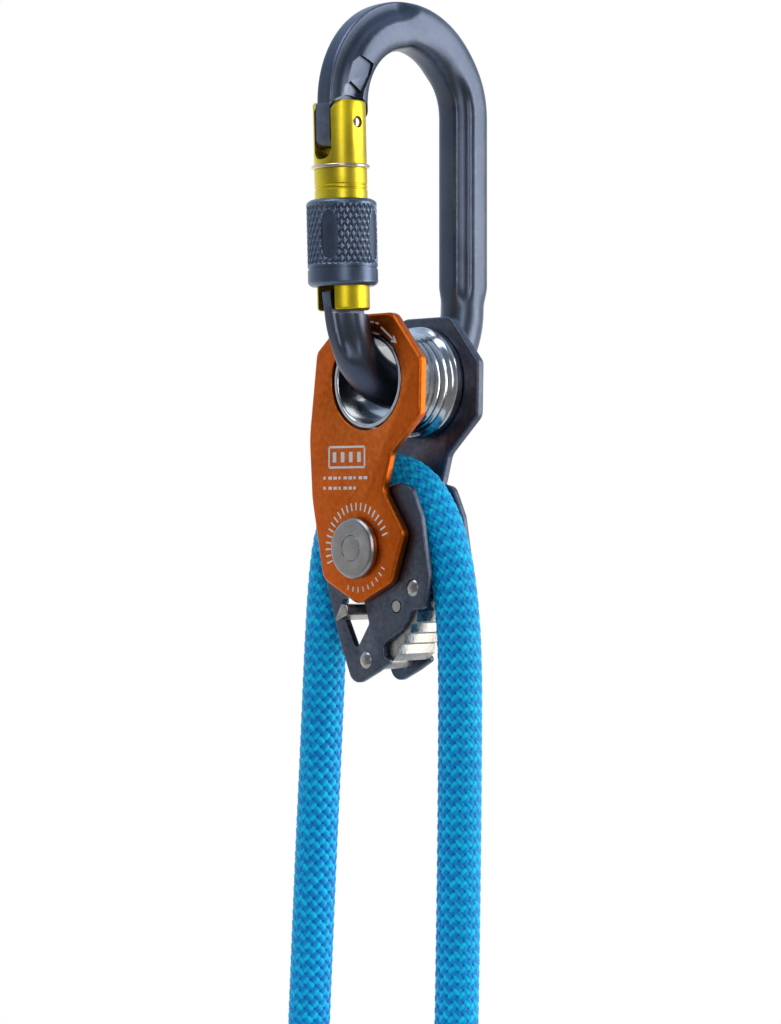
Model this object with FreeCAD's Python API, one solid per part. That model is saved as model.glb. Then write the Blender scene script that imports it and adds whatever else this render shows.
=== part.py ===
import FreeCAD, Part
import math
import os
from FreeCAD import Vector

# A rope clamp with a lower axle and sheave, hung by its eye on an oval screw-gate carabiner, with
# an 11 mm rope run over the sheave. Millimetres, +Z up, X across the plates, -Y the front.
# Everything is drawn about the centre of the eye. save() moves it so that the origin is the point
# where the carabiner bears on whatever it hangs from: the middle of the inside of its crown.

# Clamp: plates, eye and axle
FRONT_FACE = -11.8
PLATE_T = 2.7
BACK_FACE = 11.8
EYE_R = 12.65
LINER_BORE_R = 10.8
LINER_R = 11.35
LINER_LIP_R = 12.0
LINER_SET_BACK = 0.5
ROLLER_WAIST_R = 12.3
ROLLER_RIM_R = 14.5
AXLE_X = -3.1
AXLE_Z = -42.5
AXLE_R = 3.3
CAP_R = 7.75
CAP_T = 2.35
BUSH_R = 4.6
WASHER_R = 7.6
RECESS_DEPTH = 1.7
RUN_FIT = 0.05
FACE_GAP = 0.15

# Cam frame
CAM_FRONT = -8.7
CAM_T = 1.9
CAM_REAR = 6.4
RIVET_R = 1.3
RIVET_HEAD_R = 2.15
RIVET_HEAD_H = 0.9
CAM_PIN_R = 1.45

# Rope
ROPE_D = 11.0
CAP_LEN = 6.0

# Carabiner: the spine, the crown and the basket share one plane, X = 0
SPINE_Y = 23.5
CROWN_R = 22.3
CROWN_Z = 69.4
BASKET_Z = 19.9
LEAN_DEG = 1.8
BAR_R = 5.65
BAR_DEPTH = 5.8
BAR_HALF = 5.3
CROWN_DEPTH = 7.0
HINGE_Z = 64.0
PIN_R = 1.5
TONGUE_T = 5.0
NECK_T = 2.9
GATE_R = 6.65
GATE_LEN = 46.7
GATE_TOP = 5.6
GATE_BORE_R = 1.9
GATE_BORE_LEN = 18.0
GATE_BORE_END = 25.0
GATE_GAP = 0.35
GATE_END_GAP = 0.9
SLOT_W = 6.0
SLEEVE_R = 8.85
SLEEVE_TOP = 19.0
SLEEVE_LEN = 21.7
NOSE_TIP = 41.5
RING_DROP = 10.8
SLOT_DROP = 9.1

LEAN = math.radians(LEAN_DEG)
CROWN_Y = SPINE_Y - CROWN_R
BASKET_R = CROWN_R - math.sin(LEAN) * (CROWN_Z - BASKET_Z) / (1 + math.cos(LEAN))
BASKET_Y = SPINE_Y - BASKET_R
GATE_TOP_Y = CROWN_Y - CROWN_R * math.cos(LEAN)
GATE_TOP_Z = CROWN_Z - CROWN_R * math.sin(LEAN)
HINGE_Y = GATE_TOP_Y + math.tan(LEAN) * (GATE_TOP_Z - HINGE_Z)
TOP_BEARING_Z = CROWN_Z + CROWN_R - CROWN_DEPTH

X_AXIS = Vector(1, 0, 0)
Y_AXIS = Vector(0, 1, 0)
Z_AXIS = Vector(0, 0, 1)


def save(shape, name):
    """Write one sub-part, moved so that the crown's bearing point is the origin."""
    moved = shape.removeSplitter()
    moved.translate(Vector(0, 0, -TOP_BEARING_Z))
    moved.exportStep("parts/" + name + ".step")
    print(name, "volume", round(moved.Volume, 2), "solids", len(moved.Solids), moved.isValid())


def rounded_wire(corners, to_3d):
    """A closed outline of straight runs, with an arc of its own radius at each (u, v, radius)."""
    edges = []
    count = len(corners)
    joints = []
    for i in range(count):
        before = Vector(corners[i - 1][0], corners[i - 1][1], 0)
        here = Vector(corners[i][0], corners[i][1], 0)
        after = Vector(corners[(i + 1) % count][0], corners[(i + 1) % count][1], 0)
        back = (before - here).normalize()
        ahead = (after - here).normalize()
        half = math.acos(max(-1, min(1, back.dot(ahead)))) / 2
        radius = corners[i][2]
        reach = radius / math.tan(half)
        middle = (back + ahead).normalize()
        tip = here + middle * (radius / math.sin(half) - radius)
        joints.append((here + back * reach, tip, here + ahead * reach, radius))
    for i in range(count):
        start, tip, end, radius = joints[i]
        if radius > 0:
            edges.append(Part.Arc(to_3d(start), to_3d(tip), to_3d(end)).toShape())
        following = joints[(i + 1) % count][0]
        if (following - end).Length > 1e-4:
            edges.append(Part.LineSegment(to_3d(end), to_3d(following)).toShape())
    return Part.Wire(edges)


def plate(corners, y_front, thickness, about=(0, 0)):
    """A flat plate from an X-Z outline, its front face at y_front."""
    wire = rounded_wire(corners, lambda p: Vector(p.x + about[0], y_front, p.y + about[1]))
    return Part.Face(wire).extrude(Vector(0, thickness, 0))


def side_plate(corners, half_width):
    """A plate from a Y-Z outline, centred on X = 0."""
    wire = rounded_wire(corners, lambda p: Vector(-half_width, p.x, p.y))
    return Part.Face(wire).extrude(Vector(2 * half_width, 0, 0))


def disc(radius, x, z, y_from, y_to):
    """A cylinder along Y."""
    return Part.makeCylinder(radius, y_to - y_from, Vector(x, y_from, z), Y_AXIS)


def ring(outer, inner, x, z, y_from, y_to):
    return disc(outer, x, z, y_from, y_to).cut(disc(inner, x, z, y_from - 1, y_to + 1))


def turned(profile, x, z):
    """Revolve a closed (y, radius) profile about the Y axis through (x, z)."""
    points = [Vector(x + radius, y, z) for y, radius in profile]
    points.append(points[0])
    face = Part.Face(Part.makePolygon(points))
    return face.revolve(Vector(x, 0, z), Y_AXIS, 360)


def dome(x, z, y_face, outward):
    """A domed rivet head standing on a plate face; outward is -1 at the front and 1 behind."""
    ball_r = (RIVET_HEAD_R ** 2 + RIVET_HEAD_H ** 2) / (2 * RIVET_HEAD_H)
    centre = Vector(x, y_face + outward * (RIVET_HEAD_H - ball_r), z)
    ball = Part.makeSphere(ball_r, centre)
    y_from = min(y_face, y_face + outward * RIVET_HEAD_H)
    return ball.common(disc(RIVET_HEAD_R + 1, x, z, y_from, y_from + RIVET_HEAD_H))


def bevel(solid, size, y_plane):
    """Chamfer the edges that lie in one face plane of a plate."""
    edges = [e for e in solid.Edges
             if abs(e.BoundBox.YMin - y_plane) < 1e-3 and abs(e.BoundBox.YMax - y_plane) < 1e-3]
    return solid.makeChamfer(size, edges)


# ---- clamp plates: one outline for both, seen from the front --------------------------------
PLATE_OUTLINE = [
    (-7.6, 16.9, 5.0),
    (9.4, 16.9, 3.5),
    (19.3, 5.0, 2.5),
    (19.0, -9.0, 3.0),
    (8.6, -18.6, 4.0),
    (5.9, -27.8, 3.0),
    (13.4, -38.6, 2.4),
    (8.9, -51.0, 3.5),
    (-3.2, -56.9, 4.0),
    (-15.9, -50.6, 4.0),
    (-20.2, -30.0, 30.0),
    (-21.2, -14.0, 30.0),
    (-18.4, 7.8, 3.0),
]


def front_plate():
    body = plate(PLATE_OUTLINE, FRONT_FACE, PLATE_T)
    body = bevel(body, 0.5, FRONT_FACE)
    body = bevel(body, 0.4, FRONT_FACE + PLATE_T)
    body = body.cut(disc(EYE_R, 0, 0, FRONT_FACE - 1, FRONT_FACE + PLATE_T + 1))
    return body.cut(disc(AXLE_R + RUN_FIT, AXLE_X, AXLE_Z, FRONT_FACE - 1, FRONT_FACE + PLATE_T + 1))


def back_plate():
    front = BACK_FACE - PLATE_T
    body = plate(PLATE_OUTLINE, front, PLATE_T)
    body = bevel(body, 0.4, front)
    body = bevel(body, 0.5, BACK_FACE)
    body = body.cut(disc(LINER_R, 0, 0, front - 1, BACK_FACE + 1))
    return body.cut(disc(AXLE_R, AXLE_X, AXLE_Z, front - 1, BACK_FACE + 1))


def eye_liner():
    """The steel tube through the eye; its front lip stands inside the front plate's hole."""
    front = FRONT_FACE + LINER_SET_BACK
    return turned([
        (front, LINER_BORE_R + 0.35),
        (front + 0.35, LINER_BORE_R),
        (BACK_FACE + 0.45, LINER_BORE_R),
        (BACK_FACE + 0.8, LINER_BORE_R + 0.35),
        (BACK_FACE + 0.8, LINER_LIP_R + 0.6),
        (BACK_FACE, LINER_LIP_R + 0.6),
        (BACK_FACE, LINER_R),
        (front + 0.55, LINER_R),
        (front + 0.55, LINER_LIP_R),
        (front, LINER_LIP_R),
    ], 0, 0)


def eye_roller():
    """The wide roller about the liner: a shallow saddle between two rims."""
    front = FRONT_FACE + PLATE_T + 2 * FACE_GAP
    rear = BACK_FACE - PLATE_T - FACE_GAP
    middle = (front + rear) / 2
    inner = LINER_R + RUN_FIT
    saddle = Part.BSplineCurve()
    saddle.interpolate([Vector(radius, y, 0) for y, radius in (
        (front + 0.7, ROLLER_RIM_R),
        (front + 2.6, ROLLER_WAIST_R + 0.55),
        (middle, ROLLER_WAIST_R),
        (rear - 2.6, ROLLER_WAIST_R + 0.55),
        (rear - 0.7, ROLLER_RIM_R),
    )])
    corners = [
        Vector(ROLLER_RIM_R, rear - 0.7, 0),
        Vector(ROLLER_RIM_R - 0.2, rear, 0),
        Vector(inner, rear, 0),
        Vector(inner, front, 0),
        Vector(ROLLER_RIM_R - 0.2, front, 0),
        Vector(ROLLER_RIM_R, front + 0.7, 0),
    ]
    edges = [saddle.toShape()] + Part.makePolygon(corners).Edges
    return Part.Face(Part.Wire(Part.__sortEdges__(edges))).revolve(Vector(0, 0, 0), Y_AXIS, 360)


# ---- lower axle -----------------------------------------------------------------------------
def main_axle():
    return turned([
        (FRONT_FACE - CAP_T, 0),
        (FRONT_FACE - CAP_T, AXLE_R - 0.2),
        (FRONT_FACE - CAP_T + 0.2, AXLE_R),
        (BACK_FACE, AXLE_R),
        (BACK_FACE, CAP_R - 1.0),
        (BACK_FACE + 1.4, CAP_R - 1.0),
        (BACK_FACE + 1.9, CAP_R - 1.6),
        (BACK_FACE + 1.9, 0),
    ], AXLE_X, AXLE_Z)


def axle_cap():
    rear = FRONT_FACE - 0.08
    front = FRONT_FACE - CAP_T
    return turned([
        (rear, AXLE_R),
        (rear, CAP_R - 0.35),
        (rear - 0.35, CAP_R),
        (front + 0.7, CAP_R),
        (front + 0.15, CAP_R - 0.5),
        (front, CAP_R - 0.9),
        (front, AXLE_R),
    ], AXLE_X, AXLE_Z)


def axle_bush():
    return ring(BUSH_R, AXLE_R, AXLE_X, AXLE_Z, FRONT_FACE + PLATE_T + FACE_GAP, BACK_FACE - PLATE_T)


def thrust_washer(y_from, y_to):
    return ring(WASHER_R, BUSH_R + RUN_FIT, AXLE_X, AXLE_Z, y_from, y_to)


def rope_sheave():
    """A grooved sheave with a ring-shaped recess in its front face for the spring."""
    front = CAM_FRONT + CAM_T + FACE_GAP
    rear = CAM_REAR - FACE_GAP
    groove_r = 12.0
    flange_r = 14.0
    recess_r = 9.4
    hub_r = BUSH_R + RUN_FIT + 1.0
    return turned([
        (front, BUSH_R + RUN_FIT),
        (rear, BUSH_R + RUN_FIT),
        (rear, flange_r),
        (rear - 0.7, flange_r),
        (rear - 2.2, groove_r + 0.35),
        (0, groove_r - 0.3),
        (front + 2.2, groove_r + 0.35),
        (front + 0.7, flange_r),
        (front, flange_r),
        (front, recess_r),
        (front + RECESS_DEPTH, recess_r),
        (front + RECESS_DEPTH, hub_r),
        (front, hub_r),
    ], AXLE_X, AXLE_Z)


def cam_spring():
    """One open turn of wire, in the middle of the sheave's front recess."""
    mean_r = 7.6
    wire_r = 0.5
    turn_deg = 300
    y = CAM_FRONT + CAM_T + FACE_GAP + RECESS_DEPTH / 2
    return Part.makeTorus(mean_r, wire_r, Vector(AXLE_X, y, AXLE_Z), Y_AXIS, -180, 180, turn_deg)


# ---- cam frame ------------------------------------------------------------------------------
CAM_OUTLINE = [
    (-14.9, 0.0, 6.0),
    (-6.0, 12.5, 6.0),
    (11.2, 16.6, 1.6),
    (16.0, 15.6, 3.0),
    (19.6, 8.0, 4.0),
    (22.2, -6.5, 6.0),
    (20.9, -14.9, 2.6),
    (16.1, -15.5, 1.2),
    (12.5, -20.5, 6.0),
    (6.1, -24.5, 1.4),
    (6.5, -27.4, 0.9),
    (9.1, -28.5, 0.9),
    (3.6, -31.6, 5.0),
    (-4.8, -35.6, 3.4),
    (-9.8, -24.0, 20.0),
    (-14.6, -9.5, 8.0),
]
# Outlines and places on the cam frame are about the axle.
WINDOW = [
    (-8.2, -12.8, 1.0),
    (-1.0, -12.8, 1.0),
    (1.2, -19.2, 1.4),
    (-3.5, -26.2, 0.9),
    (-9.3, -15.2, 1.0),
]
RIVET_UPPER = (16.6, -9.8)
RIVET_LOWER = (-0.1, -28.6)
CAM_PIN = (10.9, -14.6)


def at_axle(point):
    return (AXLE_X + point[0], AXLE_Z + point[1])


def cam_plate(y_front):
    axle = (AXLE_X, AXLE_Z)
    body = plate(CAM_OUTLINE, y_front, CAM_T, axle)
    body = bevel(body, 0.3, y_front)
    body = bevel(body, 0.3, y_front + CAM_T)
    body = body.cut(plate(WINDOW, y_front - 1, CAM_T + 2, axle))
    body = body.cut(disc(BUSH_R + RUN_FIT, AXLE_X, AXLE_Z, y_front - 1, y_front + CAM_T + 1))
    for hole, radius in ((RIVET_UPPER, RIVET_R), (RIVET_LOWER, RIVET_R), (CAM_PIN, CAM_PIN_R + 0.3)):
        x, z = at_axle(hole)
        body = body.cut(disc(radius, x, z, y_front - 1, y_front + CAM_T + 1))
    return body


def peened_head(x, z):
    """The flat head behind the rear plate, low because the back plate runs close behind it."""
    rear = CAM_REAR + CAM_T
    return disc(RIVET_HEAD_R - 0.2, x, z, rear, rear + 0.35)


def through_rivet():
    x, z = at_axle(RIVET_LOWER)
    shank = disc(RIVET_R, x, z, CAM_FRONT, CAM_REAR + CAM_T)
    return shank.fuse(dome(x, z, CAM_FRONT, -1)).fuse(peened_head(x, z))


def lug_rivets():
    """Two short rivets, one through each cam plate and the toothed cam's lug behind it."""
    x, z = at_axle(RIVET_UPPER)
    depth = CAM_T + 0.05 + LUG_T
    front = disc(RIVET_R, x, z, CAM_FRONT, CAM_FRONT + depth).fuse(dome(x, z, CAM_FRONT, -1))
    rear_face = CAM_REAR + CAM_T
    rear = disc(RIVET_R, x, z, rear_face - depth, rear_face).fuse(peened_head(x, z))
    return Part.makeCompound([front, rear])


def rivet_spacer(place, outer):
    x, z = at_axle(place)
    return ring(outer, RIVET_R, x, z, CAM_FRONT + CAM_T, CAM_REAR)


def cam_pin():
    x, z = at_axle(CAM_PIN)
    return disc(CAM_PIN_R, x, z, CAM_FRONT + 0.05, CAM_REAR + CAM_T)


# The lugs, the stair of teeth and the catch bar, about the axle.
LUG_T = 0.9
LUG_OUTLINE = [
    (12.6, -13.0, 0.6),
    (14.0, -7.6, 1.6),
    (19.0, -7.4, 2.2),
    (18.2, -12.6, 1.5),
    (15.6, -14.0, 0.4),
]
STEP_COUNT = 4
STEP_RISE = 2.75
STEP_RUN = 2.15


def toothed_cam():
    """A cast block between the cam plates, with a stair of teeth facing the rope."""
    top = (16.5, -15.8)
    outline = [(12.6, -11.6, 0.8), (15.6, -12.6, 0.5), (top[0], top[1], 0.2)]
    x, z = top
    for step in range(STEP_COUNT):
        z -= STEP_RISE
        outline.append((x - 0.25, z, 0.25))
        if step < STEP_COUNT - 1:
            x -= STEP_RUN
            outline.append((x, z - 0.25, 0.25))
    outline.append((x - 2.4, z - 1.9, 0.5))
    outline.append((5.0, -28.2, 0.8))
    outline.append((3.6, -24.6, 1.0))
    outline.append((7.4, -17.2, 2.0))
    front = CAM_FRONT + CAM_T + 0.05
    rear = CAM_REAR - 0.05
    body = plate(outline, front, rear - front, (AXLE_X, AXLE_Z))
    for y in (front, rear - LUG_T):
        body = body.fuse(plate(LUG_OUTLINE, y, LUG_T, (AXLE_X, AXLE_Z)))
    x, z = at_axle(RIVET_UPPER)
    body = body.cut(disc(RIVET_R, x, z, front - 1, rear + 1))
    x, z = at_axle(CAM_PIN)
    return body.cut(disc(CAM_PIN_R + 0.01, x, z, front - 1, rear + 1))


CATCH_SECTION = [
    (-4.6, -14.2, 0.7),
    (-2.1, -14.6, 0.9),
    (-2.4, -17.0, 0.9),
    (-7.0, -18.9, 0.35),
]


def catch_bar():
    """A sliding bar of teardrop section that passes through both cam plates' windows."""
    front = FRONT_FACE - 1.4
    body = plate(CATCH_SECTION, front, CAM_REAR + CAM_T - front, (AXLE_X, AXLE_Z))
    return bevel(body, 0.25, front)


# ---- rope -----------------------------------------------------------------------------------
# The rope's route from its left end, over the sheave, to its right end: X and Z about the eye.
ROPE_ROUTE = [
    (-33.8, -173.0),
    (-31.6, -134.0),
    (-29.0, -96.0),
    (-27.4, -70.0),
    (-26.0, -52.5),
    (-24.0, -40.5),
    (-19.6, -31.0),
    (-11.6, -24.8),
    (-2.2, -23.2),
    (6.6, -25.9),
    (13.4, -32.9),
    (17.9, -42.6),
    (20.3, -53.5),
    (21.9, -69.0),
    (21.8, -95.0),
    (21.3, -132.0),
    (20.3, -173.0),
]


def rope_path():
    """Straight runs with tangent arcs, each as large as the two runs beside it allow."""
    points = [Vector(x, 0, z) for x, z in ROPE_ROUTE]
    edges = []
    start = points[0]
    for i in range(1, len(points) - 1):
        back = (points[i - 1] - points[i])
        ahead = (points[i + 1] - points[i])
        shorter = min(back.Length, ahead.Length)
        back.normalize()
        ahead.normalize()
        half_turn = (math.pi - back.getAngle(ahead)) / 2
        reach = 0.45 * shorter
        radius = reach / math.tan(half_turn)
        print("rope bend", i, "radius", round(radius, 1))
        enter = points[i] + back * reach
        leave = points[i] + ahead * reach
        inward = (back + ahead).normalize()
        tip = points[i] + inward * (radius / math.cos(half_turn) - radius)
        edges.append(Part.LineSegment(start, enter).toShape())
        edges.append(Part.Arc(enter, tip, leave).toShape())
        start = leave
    edges.append(Part.LineSegment(start, points[-1]).toShape())
    return Part.Wire(edges)


def rope():
    path = rope_path()
    direction = path.Edges[0].tangentAt(path.Edges[0].FirstParameter)
    start = Vector(ROPE_ROUTE[0][0], 0, ROPE_ROUTE[0][1])
    section = Part.Wire([Part.makeCircle(ROPE_D / 2, start, direction)])
    tube = path.makePipeShell([section], True, False)
    print("rope length", round(path.Length, 1), "volume ratio",
          round(tube.Volume / (math.pi * ROPE_D ** 2 / 4 * path.Length), 4))
    return tube


def rope_end(index, beside):
    """A heat-shrunk end seal that meets the rope's cut face."""
    end = Vector(ROPE_ROUTE[index][0], 0, ROPE_ROUTE[index][1])
    inner = Vector(ROPE_ROUTE[beside][0], 0, ROPE_ROUTE[beside][1])
    outward = (end - inner).normalize()
    cap = Part.makeCylinder(ROPE_D / 2 + 0.2, CAP_LEN, end, outward)
    rims = [e for e in cap.Edges if len(e.Vertexes) == 1]
    far = max(rims, key=lambda e: (e.CenterOfMass - end).dot(outward))
    return cap.makeFillet(1.2, [far])


# ---- carabiner ------------------------------------------------------------------------------
def at_angle(centre_y, centre_z, radius, degrees):
    """A point of the bar's centre line: 0 degrees is the spine's side, 90 the crown."""
    a = math.radians(degrees)
    return Vector(0, centre_y + radius * math.cos(a), centre_z + radius * math.sin(a))


# Half sections of the upper bar: outward distance, half width and corner radius.
SPINE_SECTION = [
    (BAR_DEPTH, 2.6, 1.8),
    (BAR_DEPTH - 2.4, BAR_HALF, 1.3),
    (-1.2, BAR_HALF, 0.8),
    (-2.6, BAR_HALF - 1.5, 0.8),
    (-BAR_DEPTH + 1.0, BAR_HALF - 1.8, 0.8),
    (-BAR_DEPTH, 2.4, 0.8),
]
CROWN_SECTION = [
    (BAR_DEPTH, 2.4, 0.8),
    (BAR_DEPTH - 1.4, 2.6, 0.8),
    (BAR_DEPTH - 4.6, BAR_HALF - 0.6, 1.0),
    (BAR_DEPTH - 6.6, BAR_HALF, 1.0),
    (-CROWN_DEPTH + 2.4, BAR_HALF - 0.4, 1.6),
    (-CROWN_DEPTH, 2.4, 1.4),
]


def bar_section(half_section, centre, outward):
    """A section of the bar in the plane of X and the outward direction."""
    right = [(u, v, r) for u, v, r in half_section]
    left = [(u, -v, r) for u, v, r in reversed(half_section)]
    return rounded_wire(right + left, lambda p: centre + outward * p.x + X_AXIS * p.y)


def outward_at(degrees):
    a = math.radians(degrees)
    return Vector(0, math.cos(a), math.sin(a))


def upper_bar():
    """The spine and crown: a flange with a grooved rib inside it, turning into a thicker crown."""
    low = Vector(0, SPINE_Y, BASKET_Z)
    end_angle = 180.0 + LEAN_DEG
    spine_top = Vector(0, SPINE_Y, CROWN_Z)
    mid = at_angle(CROWN_Y, CROWN_Z, CROWN_R, end_angle / 2)
    end = at_angle(CROWN_Y, CROWN_Z, CROWN_R, end_angle)
    path = Part.Wire([Part.LineSegment(low, spine_top).toShape(), Part.Arc(spine_top, mid, end).toShape()])
    sections = [
        bar_section(SPINE_SECTION, low, Y_AXIS),
        bar_section(SPINE_SECTION, spine_top, Y_AXIS),
        bar_section(CROWN_SECTION, mid, outward_at(end_angle / 2)),
        bar_section(CROWN_SECTION, end, outward_at(end_angle)),
    ]
    return path.makePipeShell(sections, True, False)


def basket_bar():
    """The round bar that carries the clamp's eye, from the spine round to the nose."""
    start = Vector(0, SPINE_Y, BASKET_Z + 4)
    turn = Vector(0, SPINE_Y, BASKET_Z)
    end_angle = -171.0
    mid = at_angle(BASKET_Y, BASKET_Z, BASKET_R, end_angle / 2)
    end = at_angle(BASKET_Y, BASKET_Z, BASKET_R, end_angle)
    path = Part.Wire([Part.LineSegment(start, turn).toShape(), Part.Arc(turn, mid, end).toShape()])
    section = Part.Wire([Part.makeCircle(BAR_R, start, Z_AXIS)])
    return path.makePipeShell([section], True, False)


def to_gate(shape):
    """Place a shape drawn about the hinge pin, with the gate hanging straight down, on its lean."""
    placed = shape.copy()
    placed.rotate(Vector(0, 0, 0), X_AXIS, LEAN_DEG)
    placed.translate(Vector(0, HINGE_Y, HINGE_Z))
    return placed


def hinge_tongue():
    """The flat end of the crown that sits in the gate's upper slot, about the hinge pin."""
    outline = [
        (-5.75, 9.0, 0.5),
        (-5.9, -6.4, 3.0),
        (4.4, -6.4, 4.0),
        (5.0, 9.0, 0.5),
    ]
    return to_gate(side_plate(outline, TONGUE_T / 2))


def nose():
    """The flat neck that rises from the basket into the gate's lower slot."""
    outline = [
        (-3.4, -GATE_LEN - 8.0, 0.5),
        (-5.5, -GATE_LEN, 8.0),
        (-6.2, -NOSE_TIP, 1.2),
        (-0.5, -NOSE_TIP - 0.5, 1.2),
        (1.2, -GATE_LEN + 1.2, 0.5),
        (1.2, -GATE_LEN - 8.0, 0.5),
    ]
    return to_gate(side_plate(outline, NECK_T / 2))


def carabiner_body():
    """The bar, cleared for the gate's cheeks at the hinge and for its lower end at the nose."""
    body = upper_bar()
    body = body.fuse([basket_bar(), hinge_tongue(), nose()])
    swept = Part.makeCylinder(GATE_R + GATE_GAP, 20, Vector(-10, HINGE_Y, HINGE_Z), X_AXIS)
    keep = to_gate(Part.makeBox(TONGUE_T, 60, 60, Vector(-TONGUE_T / 2, -30, -30)))
    body = body.cut(swept.cut(keep))
    floor = HINGE_Z - GATE_LEN * math.cos(LEAN) - GATE_END_GAP
    above = Part.makeBox(40, 26, 30, Vector(-20, HINGE_Y - 13, floor))
    slot = to_gate(Part.makeBox(NECK_T, 60, 200, Vector(-NECK_T / 2, -30, -190)))
    body = body.cut(above.cut(slot))
    return body.cut(Part.makeCylinder(PIN_R, 30, Vector(-15, HINGE_Y, HINGE_Z), X_AXIS))


def gate_barrel():
    """The gate: a round bar with a slot at each end, rounded over about its hinge pin."""
    body = Part.makeCylinder(GATE_R, GATE_LEN + GATE_TOP, Vector(0, 0, -GATE_LEN), Z_AXIS)
    rims = [e for e in body.Edges if len(e.Vertexes) == 1]
    body = body.makeFillet(0.7, rims)
    body = body.common(Part.makeCylinder(GATE_R, 20, Vector(-10, 0, 0), X_AXIS).fuse(
        Part.makeBox(20, 20, GATE_LEN, Vector(-10, -10, -GATE_LEN))))
    slot_half = SLOT_W / 2
    slot_round = 2.6
    nose_room = 1.2
    slot = Part.makeBox(SLOT_W, 20, 30, Vector(-slot_half, -10, -SLOT_DROP))
    floor_edges = [e for e in slot.Edges if abs(e.BoundBox.ZMax + SLOT_DROP) < 1e-3
                   and e.BoundBox.YLength > 1]
    body = body.cut(slot.makeFillet(slot_round, floor_edges))
    body = body.cut(Part.makeBox(SLOT_W, 12, GATE_LEN - NOSE_TIP + nose_room,
                                 Vector(-slot_half, -10.2, -GATE_LEN - 0.01)))
    body = body.cut(Part.makeCylinder(GATE_BORE_R, GATE_BORE_LEN, Vector(0, 0, -GATE_BORE_END), Z_AXIS))
    for z in (-15.4, -16.4):
        groove = Part.makeTorus(GATE_R + 0.12, 0.3, Vector(0, 0, z), Z_AXIS)
        body = body.cut(groove)
    body = body.cut(Part.makeTorus(GATE_R + 0.2, 0.55, Vector(0, 0, -RING_DROP), Z_AXIS))
    body = body.cut(Part.makeCylinder(PIN_R, 30, Vector(-15, 0, 0), X_AXIS))
    return to_gate(body)


def gate_rivet():
    half = GATE_R - 0.6
    return Part.makeCylinder(PIN_R, 2 * half, Vector(-half, HINGE_Y, HINGE_Z), X_AXIS)


def gate_plunger():
    body = Part.makeCylinder(1.7, 4.0, Vector(0, 0, -12.0), Z_AXIS)
    tip = Part.makeCylinder(1.1, 1.2, Vector(0, 0, -8.0), Z_AXIS)
    return to_gate(body.fuse(tip))


def gate_spring():
    """The spring under the plunger, drawn as level rings joined by one thin straight link."""
    wire_r = 0.3
    mean_r = 1.35
    link_r = 0.22
    foot = -24.4
    rise = 1.18
    turns = 11
    coils = [Part.makeTorus(mean_r, wire_r, Vector(0, 0, foot + rise * i), Z_AXIS) for i in range(turns)]
    link = Part.makeCylinder(link_r, rise * (turns - 1), Vector(mean_r, 0, foot), Z_AXIS)
    return to_gate(coils[0].fuse(coils[1:] + [link]))


def stop_ring():
    return to_gate(Part.makeTorus(GATE_R + 0.25, 0.5, Vector(0, 0, -RING_DROP), Z_AXIS))


def lock_sleeve():
    """A sleeve with a shallow groove near its lower end, free to run along the gate."""
    top = -SLEEVE_TOP
    bottom = top - SLEEVE_LEN
    bore = GATE_R + 0.08
    profile = [
        (bore, top),
        (SLEEVE_R - 1.0, top),
        (SLEEVE_R - 0.25, top - 0.8),
        (SLEEVE_R - 0.25, top - 1.4),
        (SLEEVE_R, top - 1.8),
        (SLEEVE_R, bottom + 5.6),
        (SLEEVE_R - 0.35, bottom + 5.2),
        (SLEEVE_R - 0.35, bottom + 4.6),
        (SLEEVE_R, bottom + 4.2),
        (SLEEVE_R, bottom + 1.0),
        (SLEEVE_R - 0.9, bottom),
        (bore, bottom),
    ]
    points = [Vector(r, 0, z) for r, z in profile]
    points.append(points[0])
    body = Part.Face(Part.makePolygon(points)).revolve(Vector(0, 0, 0), Z_AXIS, 360)
    return to_gate(body)


def main():
    os.makedirs("parts", exist_ok=True)
    save(carabiner_body(), "carabiner_body")
    save(gate_barrel(), "gate_barrel")
    save(gate_rivet(), "gate_hinge_rivet")
    save(gate_plunger(), "gate_plunger")
    save(gate_spring(), "gate_spring")
    save(stop_ring(), "stop_ring")
    save(lock_sleeve(), "lock_sleeve")
    save(back_plate(), "back_plate")
    save(front_plate(), "front_plate")
    save(eye_liner(), "eye_liner")
    save(eye_roller(), "eye_roller")
    save(main_axle(), "main_axle")
    save(axle_cap(), "axle_cap")
    save(axle_bush(), "axle_bush")
    save(thrust_washer(FRONT_FACE + PLATE_T + RUN_FIT, CAM_FRONT - RUN_FIT), "washer_front")
    save(thrust_washer(CAM_REAR + CAM_T + RUN_FIT, BACK_FACE - PLATE_T - RUN_FIT), "washer_rear")
    save(rope_sheave(), "rope_sheave")
    save(cam_spring(), "cam_spring")
    save(cam_plate(CAM_FRONT), "cam_plate_front")
    save(cam_plate(CAM_REAR), "cam_plate_rear")
    save(toothed_cam(), "toothed_cam")
    save(lug_rivets(), "cam_rivet_upper")
    save(through_rivet(), "cam_rivet_lower")
    save(rivet_spacer(RIVET_LOWER, 2.6), "cam_spacer_lower")
    save(cam_pin(), "cam_pin")
    save(catch_bar(), "catch_bar")
    save(rope(), "rope")
    save(rope_end(0, 1), "rope_end_left")
    save(rope_end(-1, -2), "rope_end_right")


main()
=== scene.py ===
import math

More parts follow.
